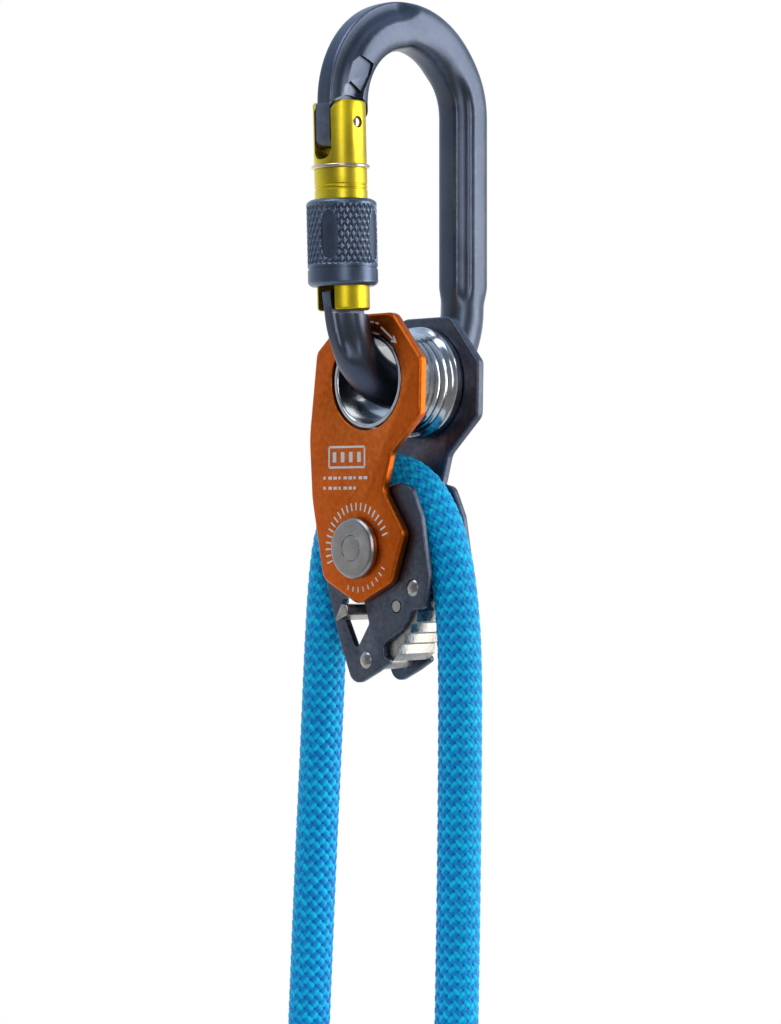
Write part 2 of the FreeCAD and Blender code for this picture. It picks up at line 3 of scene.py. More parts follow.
import bmesh
import bpy
import numpy as np
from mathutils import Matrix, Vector

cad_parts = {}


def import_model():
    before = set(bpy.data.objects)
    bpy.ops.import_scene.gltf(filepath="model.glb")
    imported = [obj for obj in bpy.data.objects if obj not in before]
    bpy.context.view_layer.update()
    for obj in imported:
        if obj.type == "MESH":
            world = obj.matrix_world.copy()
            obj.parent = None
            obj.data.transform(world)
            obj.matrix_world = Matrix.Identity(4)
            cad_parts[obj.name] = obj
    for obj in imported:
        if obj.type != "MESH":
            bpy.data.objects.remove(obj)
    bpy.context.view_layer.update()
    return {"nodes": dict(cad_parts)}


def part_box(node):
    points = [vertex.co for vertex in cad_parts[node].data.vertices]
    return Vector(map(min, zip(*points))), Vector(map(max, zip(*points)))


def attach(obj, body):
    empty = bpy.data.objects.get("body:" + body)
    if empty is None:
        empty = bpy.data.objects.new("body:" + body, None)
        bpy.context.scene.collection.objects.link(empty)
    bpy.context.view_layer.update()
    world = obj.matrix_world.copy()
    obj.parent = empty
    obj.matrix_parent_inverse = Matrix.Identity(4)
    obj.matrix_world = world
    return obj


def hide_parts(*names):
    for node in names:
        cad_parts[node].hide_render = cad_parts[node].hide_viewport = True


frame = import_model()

MM = 0.001
SEED = 11


def mid(node):
    low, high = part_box(node)
    return (low + high) / 2


# Everything below is placed about the centre of the eye, as the CAD source is.
EYE = mid("eye_roller")
EYE.y = 0.0
AXLE = mid("rope_sheave")
AXLE.y = 0.0
HINGE = mid("gate_hinge_rivet")
HINGE.x = 0.0

# ---- camera ---------------------------------------------------------------------------------
CAMERA_AZIMUTH = math.radians(45.0)
CAMERA_DISTANCE = 0.70
CAMERA_BELOW_EYE = 0.0333
LONG_SIDE = 1024
FOCAL_IN_PIXELS = 2730.0
SENSOR = 36.0


def make_camera():
    """A long lens level with the clamp, at 45 degrees to its front."""
    data = bpy.data.cameras.new("camera")
    data.sensor_width = SENSOR
    data.lens = SENSOR * FOCAL_IN_PIXELS / LONG_SIDE
    data.clip_start = 0.01
    data.shift_x = -0.0079
    camera = bpy.data.objects.new("camera", data)
    bpy.context.scene.collection.objects.link(camera)
    back = Vector((math.sin(CAMERA_AZIMUTH), -math.cos(CAMERA_AZIMUTH), 0))
    camera.location = EYE + back * CAMERA_DISTANCE - Vector((0, 0, CAMERA_BELOW_EYE))
    camera.rotation_euler = (math.radians(90), 0, CAMERA_AZIMUTH)
    bpy.context.scene.camera = camera


make_camera()


# ---- mesh helpers ---------------------------------------------------------------------------
def add_object(name, mesh, body, material):
    obj = bpy.data.objects.new(name, mesh)
    bpy.context.scene.collection.objects.link(obj)
    mesh.materials.clear()
    mesh.materials.append(material)
    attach(obj, body)
    return obj


def mesh_from(name, verts, faces):
    mesh = bpy.data.meshes.new(name)
    mesh.from_pydata([tuple(v) for v in verts], [], faces)
    mesh.update()
    return mesh


def shade(mesh, degrees):
    """Smooth faces with sharp edges above the angle."""
    mesh.shade_smooth()
    mesh.set_sharp_from_angle(angle=math.radians(degrees))


def tube_faces(rings, around, closed_ends=True):
    """Quads of a tube of rings, with a fan-free polygon over each end."""
    faces = []
    for i in range(rings - 1):
        for j in range(around):
            k = (j + 1) % around
            faces.append((i * around + j, i * around + k, (i + 1) * around + k, (i + 1) * around + j))
    if closed_ends:
        faces.append(tuple(range(around))[::-1])
        faces.append(tuple((rings - 1) * around + j for j in range(around)))
    return faces


def outward_normals(mesh):
    bm = bmesh.new()
    bm.from_mesh(mesh)
    bmesh.ops.recalc_face_normals(bm, faces=bm.faces)
    bm.to_mesh(mesh)
    bm.free()


def mark_edges(mesh):
    """A per-point value of 0 to 1 for how sharply the surface turns outward there, for edge wear."""
    bm = bmesh.new()
    bm.from_mesh(mesh)
    bm.normal_update()
    values = []
    for vert in bm.verts:
        turn = 0.0
        for edge in vert.link_edges:
            if len(edge.link_faces) == 2 and edge.is_convex:
                turn = max(turn, edge.calc_face_angle(0.0))
        values.append(min(1.0, turn / math.radians(35)))
    bm.free()
    layer = mesh.attributes.new("edge", "FLOAT", "POINT")
    layer.data.foreach_set("value", values)


def revolve(profile, centre, around=192):
    """A closed (y, radius) profile turned about the Y axis through a point, in mm."""
    verts = []
    count = len(profile)
    for j in range(around):
        a = 2 * math.pi * j / around
        for y, r in profile:
            out = r * MM
            verts.append((centre.x + out * math.cos(a), centre.y + y * MM, centre.z + out * math.sin(a)))
    faces = []
    for j in range(around):
        k = (j + 1) % around
        for i in range(count):
            n = (i + 1) % count
            faces.append((j * count + i, j * count + n, k * count + n, k * count + i))
    return verts, faces


# ---- rope -----------------------------------------------------------------------------------
ROPE_ROUTE = [
    (-0.0338, -0.1730),
    (-0.0316, -0.1340),
    (-0.0290, -0.0960),
    (-0.0274, -0.0700),
    (-0.0260, -0.0525),
    (-0.0240, -0.0405),
    (-0.0196, -0.0310),
    (-0.0116, -0.0248),
    (-0.0022, -0.0232),
    (0.0066, -0.0259),
    (0.0134, -0.0329),
    (0.0179, -0.0426),
    (0.0203, -0.0535),
    (0.0219, -0.0690),
    (0.0218, -0.0950),
    (0.0213, -0.1320),
    (0.0203, -0.1730),
]
YARNS = 12
BRAID_PITCH = 0.00308
SAMPLES_PER_YARN = 16
SHEATH_LOW_R = 4.80
CROSSING_LIFT = 0.30
YARN_ROUND = 0.32
STRAND_ROUND = 0.20
ROW_STEP = 0.00025


def rope_centreline():
    curve = bpy.data.curves.new("rope_route", "CURVE")
    curve.dimensions = "3D"
    spline = curve.splines.new("NURBS")
    spline.points.add(len(ROPE_ROUTE) - 1)
    for point, (x, z) in zip(spline.points, ROPE_ROUTE):
        point.co = (EYE.x + x, 0.0, EYE.z + z, 1.0)
    spline.order_u = 3
    spline.use_endpoint_u = True
    curve.resolution_u = 16
    holder = bpy.data.objects.new("rope_route", curve)
    bpy.context.scene.collection.objects.link(holder)
    bpy.context.view_layer.update()
    line_mesh = bpy.data.meshes.new_from_object(holder)
    line = np.array([v.co for v in line_mesh.vertices])
    bpy.data.objects.remove(holder)
    return line


def smooth_round(x):
    return np.sqrt(np.clip(1 - x * x, 0, 1))


def braided_rope(material):
    """The sheath as one tube, raised and lowered by two families of paired yarns, one over one."""
    line = rope_centreline()
    steps = np.linalg.norm(np.diff(line, axis=0), axis=1)
    at = np.concatenate([[0], np.cumsum(steps)])
    length = at[-1]
    rows = int(length / ROW_STEP) + 1
    s = np.linspace(0, length, rows)
    centre = np.stack([np.interp(s, at, line[:, k]) for k in range(3)], 1)
    tangent = np.gradient(centre, axis=0)
    tangent /= np.linalg.norm(tangent, axis=1)[:, None]
    side = np.array([0.0, 1.0, 0.0])
    normal = np.cross(tangent, side)
    around = YARNS * SAMPLES_PER_YARN
    u = np.arange(around)[None, :] / SAMPLES_PER_YARN
    v = (s / BRAID_PITCH)[:, None]
    a, b = u - v, u + v
    ia, ib = np.floor(a), np.floor(b)
    fa, fb = a - ia - 0.5, b - ib - 0.5
    over_a = np.cos(np.pi * (ia + b - 0.5))
    over_b = -np.cos(np.pi * (ib + a - 0.5))

    def yarn(f, over):
        """Height of a yarn of two strands at a place across it, raised where it runs over."""
        pair = smooth_round((np.abs(f) - 0.25) / 0.27)
        body = smooth_round(f / 0.53)
        lift = np.sign(over) * np.abs(over) ** 0.75
        return CROSSING_LIFT * lift + YARN_ROUND * body + STRAND_ROUND * pair

    za, zb = yarn(fa, over_a), yarn(fb, over_b)
    height = np.maximum(za, zb)
    top_a = za > zb
    radius = (SHEATH_LOW_R + height) * MM
    angle = 2 * np.pi * u / YARNS
    verts = (centre[:, None, :] + radius[:, :, None] * (
        np.cos(angle)[:, :, None] * normal[:, None, :] + np.sin(angle)[:, :, None] * side))
    mesh = mesh_from("rope_sheath", verts.reshape(-1, 3), tube_faces(rows, around))
    tone = np.where(np.where(top_a, fa, fb) < 0, 1.0, 0.0)
    rng = np.random.default_rng(SEED)
    by_yarn = rng.random((2, YARNS * 2))
    which = np.where(top_a, by_yarn[0][(ia % YARNS).astype(int)], by_yarn[1][(ib % YARNS).astype(int)])
    colour = np.zeros((rows, around, 4), np.float32)
    colour[..., 0] = tone
    # Green keeps the height, from which the material paints shade into the low gaps between yarns.
    colour[..., 1] = np.clip((height - 0.1) / 0.65, 0, 1)
    colour[..., 2] = which
    colour[..., 3] = 1
    layer = mesh.color_attributes.new("weave", "FLOAT_COLOR", "POINT")
    layer.data.foreach_set("color", colour.reshape(-1))
    mesh.shade_smooth()
    obj = add_object("rope_sheath", mesh, "clamp", material)
    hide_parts("rope")
    return obj, centre, float(length)


# ---- materials ------------------------------------------------------------------------------
def nodes_of(name):
    material = bpy.data.materials.new(name)
    material.use_nodes = True
    tree = material.node_tree
    shader = tree.nodes["Principled BSDF"]
    return material, tree, shader


def link(tree, source, target):
    tree.links.new(source, target)


def noise(tree, scale, detail=3.0, roughness=0.55, stretch=None):
    """Object-space noise; scale is in turns per metre, stretch squashes it along an axis."""
    place = tree.nodes.new("ShaderNodeTexCoord")
    out = place.outputs["Object"]
    if stretch is not None:
        mapping = tree.nodes.new("ShaderNodeMapping")
        mapping.inputs["Scale"].default_value = stretch
        link(tree, out, mapping.inputs["Vector"])
        out = mapping.outputs["Vector"]
    node = tree.nodes.new("ShaderNodeTexNoise")
    node.inputs["Scale"].default_value = scale
    node.inputs["Detail"].default_value = detail
    node.inputs["Roughness"].default_value = roughness
    link(tree, out, node.inputs["Vector"])
    return node.outputs["Fac"]


def ramp(tree, source, low, high, from_value, to_value):
    node = tree.nodes.new("ShaderNodeMapRange")
    node.inputs["From Min"].default_value = low
    node.inputs["From Max"].default_value = high
    node.inputs["To Min"].default_value = from_value
    node.inputs["To Max"].default_value = to_value
    link(tree, source, node.inputs["Value"])
    return node.outputs["Result"]


def mix(tree, factor, first, second):
    node = tree.nodes.new("ShaderNodeMix")
    node.data_type = "RGBA"
    link(tree, factor, node.inputs["Factor"])
    for value, socket in ((first, node.inputs["A"]), (second, node.inputs["B"])):
        if isinstance(value, tuple):
            socket.default_value = (*value, 1.0)
        else:
            link(tree, value, socket)
    return node.outputs["Result"]


def math_node(tree, operation, first, second):
    node = tree.nodes.new("ShaderNodeMath")
    node.operation = operation
    for value, socket in ((first, node.inputs[0]), (second, node.inputs[1])):
        if isinstance(value, (int, float)):
            socket.default_value = value
        else:
            link(tree, value, socket)
    return node.outputs[0]


def bump(tree, shader, height, strength, distance, below=None):
    node = tree.nodes.new("ShaderNodeBump")
    node.inputs["Strength"].default_value = strength
    node.inputs["Distance"].default_value = distance
    link(tree, height, node.inputs["Height"])
    if below is not None:
        link(tree, below, node.inputs["Normal"])
    link(tree, node.outputs["Normal"], shader.inputs["Normal"])
    return node.outputs["Normal"]


def metal(name, dark, light, worn, rough, grain=5200.0, grain_depth=0.02, grain_strength=0.35,
          wear=0.5, cloud=90.0, stretch=None, metallic=1.0, spread=0.07):
    """Metal with clouded colour, a fine grain in its gloss and relief, and paler rubbed edges."""
    material, tree, shader = nodes_of(name)
    shader.inputs["Metallic"].default_value = metallic
    slow = noise(tree, cloud, 4.0, 0.6)
    fine = noise(tree, grain, 2.0, 0.5, stretch)
    blend = math_node(tree, "ADD", math_node(tree, "MULTIPLY", slow, 0.6),
                      math_node(tree, "MULTIPLY", fine, 0.4))
    base = mix(tree, ramp(tree, blend, 0.38, 0.62, 0.0, 1.0), dark, light)
    edge = tree.nodes.new("ShaderNodeAttribute")
    edge.attribute_name = "edge"
    patchy = ramp(tree, noise(tree, 700.0, 4.0, 0.7), 0.35, 0.65, 0.25, 1.0)
    rubbed = math_node(tree, "MULTIPLY", math_node(tree, "MULTIPLY", edge.outputs["Fac"], patchy), wear)
    link(tree, mix(tree, rubbed, base, worn), shader.inputs["Base Color"])
    gloss = ramp(tree, blend, 0.35, 0.65, rough - spread / 2, rough + spread / 2)
    link(tree, math_node(tree, "SUBTRACT", gloss, math_node(tree, "MULTIPLY", rubbed, 0.08)),
         shader.inputs["Roughness"])
    bump(tree, shader, fine, grain_strength, grain_depth * MM)
    return material


def turned_metal(name, dark, light, rough, ring_scale, centre, depth=0.006, strength=0.25):
    """Bright metal with fine lathe rings about the Y axis through a point."""
    material, tree, shader = nodes_of(name)
    shader.inputs["Metallic"].default_value = 1.0
    place = tree.nodes.new("ShaderNodeTexCoord")
    move = tree.nodes.new("ShaderNodeMapping")
    move.inputs["Location"].default_value = (-centre.x, 0.0, -centre.z)
    link(tree, place.outputs["Object"], move.inputs["Vector"])
    split = tree.nodes.new("ShaderNodeSeparateXYZ")
    link(tree, move.outputs["Vector"], split.inputs["Vector"])
    square = math_node(tree, "ADD", math_node(tree, "MULTIPLY", split.outputs["X"], split.outputs["X"]),
                       math_node(tree, "MULTIPLY", split.outputs["Z"], split.outputs["Z"]))
    radius = math_node(tree, "SQRT", square, 0.0)
    along = math_node(tree, "ADD", radius, split.outputs["Y"])
    line = tree.nodes.new("ShaderNodeCombineXYZ")
    link(tree, along, line.inputs["X"])
    link(tree, radius, line.inputs["Y"])
    rings = tree.nodes.new("ShaderNodeTexNoise")
    rings.inputs["Scale"].default_value = ring_scale
    rings.inputs["Detail"].default_value = 4.0
    link(tree, line.outputs["Vector"], rings.inputs["Vector"])
    smudge = noise(tree, 260.0, 5.0, 0.65)
    speck = noise(tree, 2600.0, 2.0, 0.5)
    blend = math_node(tree, "ADD", math_node(tree, "MULTIPLY", rings.outputs["Fac"], 0.5),
                      math_node(tree, "MULTIPLY", smudge, 0.5))
    link(tree, mix(tree, ramp(tree, blend, 0.35, 0.65, 0.0, 1.0), dark, light), shader.inputs["Base Color"])
    link(tree, ramp(tree, blend, 0.3, 0.7, rough * 0.7, rough * 1.4), shader.inputs["Roughness"])
    height = math_node(tree, "ADD", math_node(tree, "MULTIPLY", rings.outputs["Fac"], 0.8),
                       math_node(tree, "MULTIPLY", speck, 0.2))
    bump(tree, shader, height, strength, depth * MM)
    return material


def rope_material():
    material, tree, shader = nodes_of("rope_sheath")
    weave = tree.nodes.new("ShaderNodeAttribute")
    weave.attribute_name = "weave"
    split = tree.nodes.new("ShaderNodeSeparateColor")
    link(tree, weave.outputs["Color"], split.inputs["Color"])
    tone, depth, yarn = split.outputs["Red"], split.outputs["Green"], split.outputs["Blue"]
    fibre = noise(tree, 5200.0, 3.0, 0.6)
    patch = noise(tree, 420.0, 3.0, 0.6)
    lift = math_node(tree, "ADD", math_node(tree, "MULTIPLY", yarn, 0.30),
                     math_node(tree, "MULTIPLY", math_node(tree, "ADD", fibre, patch), 0.35))
    cyan = mix(tree, ramp(tree, lift, 0.25, 0.70, 0.0, 1.0), (0.0, 0.40, 0.76), (0.0, 0.62, 0.92))
    blue = mix(tree, ramp(tree, lift, 0.25, 0.70, 0.0, 1.0), (0.0, 0.20, 0.56), (0.0, 0.34, 0.74))
    top = mix(tree, tone, blue, cyan)
    # Painted shade: the low gaps between yarns are darkened towards a deep blue by the stored height.
    base = mix(tree, ramp(tree, depth, 0.25, 0.80, 0.0, 1.0), (0.0, 0.03, 0.17), top)
    link(tree, base, shader.inputs["Base Color"])
    shader.inputs["Sheen Weight"].default_value = 0.04
    shader.inputs["Sheen Roughness"].default_value = 0.4
    shader.inputs["Specular IOR Level"].default_value = 0.16
    link(tree, ramp(tree, fibre, 0.3, 0.7, 0.36, 0.56), shader.inputs["Roughness"])
    bump(tree, shader, fibre, 0.55, 0.03 * MM)
    return material


BLUE_GREY = metal("blue_grey_anodised", (0.062, 0.076, 0.108), (0.090, 0.108, 0.148), (0.36, 0.40, 0.50),
                  0.36, grain=3600.0, wear=0.35)
SLEEVE_BLUE = metal("sleeve_anodised", (0.070, 0.092, 0.140), (0.115, 0.145, 0.205), (0.40, 0.50, 0.66),
                    0.38, grain=3600.0, wear=0.55)
YELLOW = metal("yellow_anodised", (0.56, 0.42, 0.010), (0.74, 0.58, 0.020), (0.95, 0.85, 0.30),
               0.38, grain=4200.0, wear=0.3)
ORANGE = metal("orange_anodised", (0.44, 0.058, 0.001), (0.58, 0.088, 0.003), (1.0, 0.34, 0.07),
               0.38, grain=4600.0, grain_strength=0.5, wear=0.75)
PLATE_GREY = metal("grey_anodised", (0.046, 0.055, 0.078), (0.070, 0.080, 0.108), (0.34, 0.38, 0.47),
                   0.42, grain=4600.0, wear=0.55)
CAST = metal("cast_steel", (0.22, 0.21, 0.19), (0.42, 0.40, 0.37), (0.66, 0.64, 0.60),
             0.34, grain=1500.0, grain_depth=0.08, grain_strength=0.8, cloud=500.0, wear=0.4, spread=0.2)
RIVET = metal("riveted_steel", (0.30, 0.29, 0.27), (0.46, 0.44, 0.42), (0.70, 0.68, 0.66),
              0.22, grain=1600.0, grain_depth=0.02, grain_strength=0.3, cloud=600.0, wear=0.2, spread=0.1)
WIRE = metal("spring_wire", (0.50, 0.42, 0.30), (0.70, 0.62, 0.50), (0.85, 0.82, 0.75),
             0.22, grain=2400.0, wear=0.2)
BRONZE = metal("bronze", (0.42, 0.27, 0.10), (0.60, 0.42, 0.20), (0.75, 0.6, 0.35), 0.35, wear=0.3)
POLYMER = metal("black_polymer", (0.012, 0.012, 0.013), (0.03, 0.03, 0.033), (0.07, 0.07, 0.07),
                0.5, grain=2200.0, metallic=0.0, wear=0.3)
SEAL = metal("rope_seal", (0.012, 0.05, 0.10), (0.03, 0.09, 0.16), (0.08, 0.16, 0.24),
             0.38, grain=900.0, grain_depth=0.08, metallic=0.0, wear=0.3)
MARK = metal("laser_mark", (0.62, 0.58, 0.54), (0.80, 0.76, 0.72), (0.80, 0.76, 0.72),
             0.55, grain=6000.0, metallic=0.2, wear=0.0)
CHROME = turned_metal("polished_steel", (0.34, 0.36, 0.38), (0.60, 0.62, 0.64), 0.16, 5200.0, EYE)
CAP_STEEL = turned_metal("turned_steel", (0.24, 0.23, 0.22), (0.36, 0.35, 0.34), 0.28, 6500.0, AXLE)
ROPE = rope_material()

rope_object, rope_line, rope_length = braided_rope(ROPE)


# ---- carabiner ------------------------------------------------------------------------------
# Y and Z in mm about the eye; the bar's plane is X = 0.
LEAN = math.radians(1.8)
PIN = (-20.94, 64.0)
CROWN = (1.2, 69.4, 22.3)
BASKET = (1.978, 19.9, 21.52)
SPINE_Y = 23.5
# Half sections of the bar, from its outer middle round to its inner middle: outward, sideways.
HINGE_SECTION = [(5.6, 0), (5.6, 1.3), (5.45, 2.4), (4.6, 2.5), (2.6, 3.1), (0.8, 5.0),
                 (-1.5, 5.3), (-4.0, 5.2), (-5.6, 4.6), (-6.5, 3.6), (-6.85, 2.0), (-6.9, 0)]
CROWN_SECTION = [(5.5, 0), (5.5, 1.5), (5.35, 2.9), (4.8, 4.2), (3.7, 5.0), (2.1, 5.4),
                 (-0.2, 5.5), (-2.5, 5.4), (-4.4, 4.9), (-5.7, 3.9), (-6.5, 2.2), (-6.6, 0)]
SPINE_SECTION = [(5.9, 0), (5.9, 1.5), (5.75, 3.0), (5.2, 4.2), (4.4, 4.9), (3.4, 5.3),
                 (1.0, 5.4), (-1.4, 5.35), (-2.3, 4.0), (-4.4, 3.6), (-5.6, 3.2), (-5.9, 0)]
BASKET_SECTION = [(5.75, 0), (5.7, 1.2), (5.4, 2.4), (4.7, 3.4), (3.8, 4.3), (2.6, 5.1),
                  (0.4, 5.6), (-1.8, 5.4), (-3.3, 4.6), (-4.5, 3.4), (-5.4, 1.9), (-5.65, 0)]
NOSE_SECTION = [(5.8, 0), (5.8, 0.9), (5.6, 1.45), (4.3, 1.45), (3.0, 2.4), (1.6, 4.4),
                (0.0, 5.2), (-2.4, 5.1), (-4.0, 4.4), (-5.0, 3.2), (-5.6, 1.7), (-5.7, 0)]
BAR_STEP = 0.35
HINGE_ROWS = 8
CUT_REACH = 12.0


def world(x, y, z):
    return (EYE.x + x * MM, y * MM, EYE.z + z * MM)


def rounded_loop(points, rounds=2):
    """Corner cutting, which tends to the quadratic B-spline of a closed loop."""
    for _ in range(rounds):
        following = np.roll(points, -1, axis=0)
        near, far = 0.75 * points + 0.25 * following, 0.25 * points + 0.75 * following
        points = np.stack([near, far], 1).reshape(-1, points.shape[1])
    return points


def full_section(half):
    half = np.array(half, float)
    mirrored = half[1:-1][::-1] * (1, -1)
    return rounded_loop(np.concatenate([half, mirrored]))


def bar_stations():
    """Points down the bar with their outward directions and blended sections."""
    keys = {name: full_section(half) for name, half in (
        ("hinge", HINGE_SECTION), ("crown", CROWN_SECTION), ("spine", SPINE_SECTION),
        ("basket", BASKET_SECTION), ("nose", NOSE_SECTION))}
    rows = []

    def arc(centre, start, end, plan):
        cy, cz, radius = centre
        count = int(abs(math.radians(end - start)) * radius / BAR_STEP)
        for i in range(count):
            degrees = start + (end - start) * i / count
            a = math.radians(degrees)
            out = np.array([math.cos(a), math.sin(a)])
            rows.append((np.array([cy, cz]) + radius * out, out, blend(plan, degrees)))

    def blend(plan, at):
        for (from_at, from_key), (to_at, to_key) in zip(plan, plan[1:]):
            if min(from_at, to_at) <= at <= max(from_at, to_at):
                t = (at - from_at) / (to_at - from_at)
                t = t * t * (3 - 2 * t)
                return keys[from_key] * (1 - t) + keys[to_key] * t
        return keys[plan[-1][1]]

    out = np.array([-math.cos(LEAN), -math.sin(LEAN)])
    top = np.array(CROWN[:2]) + CROWN[2] * out
    low = np.array(PIN)
    for i in range(HINGE_ROWS):
        rows.append((low + (top - low) * i / HINGE_ROWS, out, keys["hinge"]))
    arc(CROWN, 181.8, 0.0, [(181.8, "hinge"), (101.0, "hinge"), (84.0, "crown"), (45.0, "crown"),
                            (10.0, "spine"), (0.0, "spine")])
    spine_plan = [(CROWN[1], "spine"), (26.0, "spine"), (BASKET[1], "basket")]
    count = int((CROWN[1] - BASKET[1]) / BAR_STEP)
    for i in range(count):
        z = CROWN[1] + (BASKET[1] - CROWN[1]) * i / count
        rows.append((np.array([SPINE_Y, z]), np.array([1.0, 0.0]), blend(spine_plan, z)))
    arc(BASKET, 0.0, -177.0, [(0.0, "basket"), (-140.0, "basket"), (-157.0, "nose"),
                              (-177.0, "nose")])
    return rows


def swept_bar():
    verts = []
    rows = bar_stations()
    for centre, out, section in rows:
        for a, x in section:
            y, z = centre + out * a
            verts.append(world(x, y, z))
    around = len(rows[0][2])
    return mesh_from("carabiner", verts, tube_faces(len(rows), around))


def about_pin(points):
    """Points drawn with the gate hanging straight down from its pin, put on its lean."""
    c, n = math.cos(LEAN), math.sin(LEAN)
    return [(PIN[0] + y * c - z * n, PIN[1] + y * n + z * c) for y, z in points]


def rounded_corners(corners, steps=6):
    """Points of an outline with an arc of its own radius at each (u, v, radius)."""
    points = []
    count = len(corners)
    for i in range(count):
        here = np.array(corners[i][:2])
        back = np.array(corners[i - 1][:2]) - here
        ahead = np.array(corners[(i + 1) % count][:2]) - here
        back /= np.linalg.norm(back)
        ahead /= np.linalg.norm(ahead)
        half = math.acos(max(-1.0, min(1.0, float(back @ ahead)))) / 2
        radius = corners[i][2]
        reach = radius / math.tan(half)
        for k in range(steps + 1):
            t = k / steps
            points.append(tuple(here + back * reach * (1 - t) ** 2 + ahead * reach * t ** 2))
    return points


def slab(name, outline, x_from, x_to):
    """A prism along X from a Y-Z outline."""
    count = len(outline)
    verts = [world(x, y, z) for x in (x_from, x_to) for y, z in outline]
    faces = [tuple(range(count)), tuple(range(count, 2 * count))[::-1]]
    for i in range(count):
        k = (i + 1) % count
        faces.append((i, i + count, k + count, k))
    mesh = mesh_from(name, verts, faces)
    outward_normals(mesh)
    return mesh


def combine(target, tool_mesh, operation):
    """One boolean on an object, applied at once."""
    tool = bpy.data.objects.new("tool", tool_mesh)
    bpy.context.scene.collection.objects.link(tool)
    step = target.modifiers.new("step", "BOOLEAN")
    step.operation = operation
    step.solver = "EXACT"
    step.object = tool
    bpy.context.view_layer.update()
    graph = bpy.context.evaluated_depsgraph_get()
    done = bpy.data.meshes.new_from_object(target.evaluated_get(graph))
    target.modifiers.clear()
    target.data = done
    bpy.data.objects.remove(tool)


def soften(obj, width, segments=3, angle=35.0, smooth=40.0):
    """Round an object's hard edges, mark them for wear and shade it."""
    rounding = obj.modifiers.new("rounding", "BEVEL")
    rounding.width = width * MM
    rounding.segments = segments
    rounding.limit_method = "ANGLE"
    rounding.angle_limit = math.radians(angle)
    rounding.use_clamp_overlap = True
    bpy.context.view_layer.update()
    graph = bpy.context.evaluated_depsgraph_get()
    done = bpy.data.meshes.new_from_object(obj.evaluated_get(graph))
    obj.modifiers.clear()
    obj.data = done
    mark_edges(done)
    shade(done, smooth)


def circle(centre, radius, count=72):
    return [(centre[0] + radius * math.cos(2 * math.pi * i / count),
             centre[1] + radius * math.sin(2 * math.pi * i / count)) for i in range(count)]


PIN_HOLE_R = 1.5
TONGUE_HALF = 2.5
NECK_HALF = 1.45
HINGE_CLEAR_R = 7.0
NOSE_FLOOR = 16.42
TONGUE = [(-5.75, 5.0, 0.5), (-5.9, -6.4, 3.0), (4.4, -6.4, 4.0), (4.9, 5.0, 0.5)]
NECK = [(-3.4, -54.7, 0.5), (-5.5, -46.7, 8.0), (-6.2, -41.5, 1.2), (-0.5, -42.0, 1.2), (1.2, -45.5, 0.5),
        (1.2, -54.7, 0.5)]
# Two flats stepped down towards the hinge on each side of the crown, drawn like arrowheads.
UPPER_FLAT_X = 4.3
LOWER_FLAT_X = 3.3
UPPER_FLAT = [(-18.3, 81.2), (-13.8, 79.4), (-14.7, 76.8), (-17.4, 72.1), (-22.0, 60.0), (-32.0, 70.0),
              (-24.0, 76.2)]
LOWER_FLAT = [(-21.2, 74.4), (-17.4, 72.1), (-20.0, 60.0), (-36.0, 66.0), (-26.7, 71.0)]


def make_carabiner():
    body = add_object("carabiner_bar", swept_bar(), "carabiner", BLUE_GREY)
    pin = circle(PIN, HINGE_CLEAR_R)
    nose_room = [(-33.0, NOSE_FLOOR), (-8.0, NOSE_FLOOR), (-8.0, 30.0), (-33.0, 30.0)]
    for side in (-1, 1):
        for name, outline, depth in (("hinge_room", pin, TONGUE_HALF), ("nose_room", nose_room, NECK_HALF),
                                     ("upper_flat", UPPER_FLAT, UPPER_FLAT_X),
                                     ("lower_flat", LOWER_FLAT, LOWER_FLAT_X)):
            low, high = sorted((side * depth, side * CUT_REACH))
            combine(body, slab(name, outline, low, high), "DIFFERENCE")
    combine(body, slab("tongue", about_pin(rounded_corners(TONGUE)), -TONGUE_HALF, TONGUE_HALF), "UNION")
    combine(body, slab("neck", about_pin(rounded_corners(NECK)), -NECK_HALF, NECK_HALF), "UNION")
    combine(body, slab("pin_hole", circle(PIN, PIN_HOLE_R, 32), -CUT_REACH, CUT_REACH), "DIFFERENCE")
    soften(body, 0.22)
    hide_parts("carabiner_body")
    return body


make_carabiner()


PIN_R = 1.42
PIN_END = 6.45
PIN_DOME = 0.45


def make_hinge_pin():
    """The gate's hinge pin, with a low dome at each end."""
    profile = [(-PIN_END, 0.02), (-PIN_END + 0.05, 0.6), (-PIN_END + 0.2, 1.1),
               (-PIN_END + PIN_DOME, PIN_R)]
    profile += [(-x, r) for x, r in reversed(profile)]
    around = 48
    verts = []
    for x, r in profile:
        for j in range(around):
            a = 2 * math.pi * j / around
            verts.append(world(x, PIN[0] + r * math.cos(a), PIN[1] + r * math.sin(a)))
    mesh = mesh_from("hinge_pin", verts, tube_faces(len(profile), around))
    outward_normals(mesh)
    mark_edges(mesh)
    shade(mesh, 40.0)
    obj = add_object("hinge_pin", mesh, "carabiner", RIVET)
    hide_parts("gate_hinge_rivet")


make_hinge_pin()


# ---- sleeve ---------------------------------------------------------------------------------
SLEEVE_TOP = 19.0
SLEEVE_LEN = 21.7
SLEEVE_R = 8.85
SLEEVE_BORE = 6.73
KNURL_STARTS = 36
KNURL_PITCH = 1.5
KNURL_DEPTH = 0.42
KNURL_FROM, KNURL_TO = 1.3, 16.4
RIM_ROUND = 1.1
GROOVE_FROM, GROOVE_TO = 17.0, 17.6
GROOVE_DEPTH = 0.22
FLAT_TURN_DEG = 24.0
FLAT_HALF_DEG = 15.0
FLAT_DEPTH = 0.42
FLAT_SQUARENESS = 2.6
FLAT_HALF_TALL = 6.0
FLAT_MIDDLE = 9.1
SLEEVE_AROUND = 576
SLEEVE_STEP = 0.11


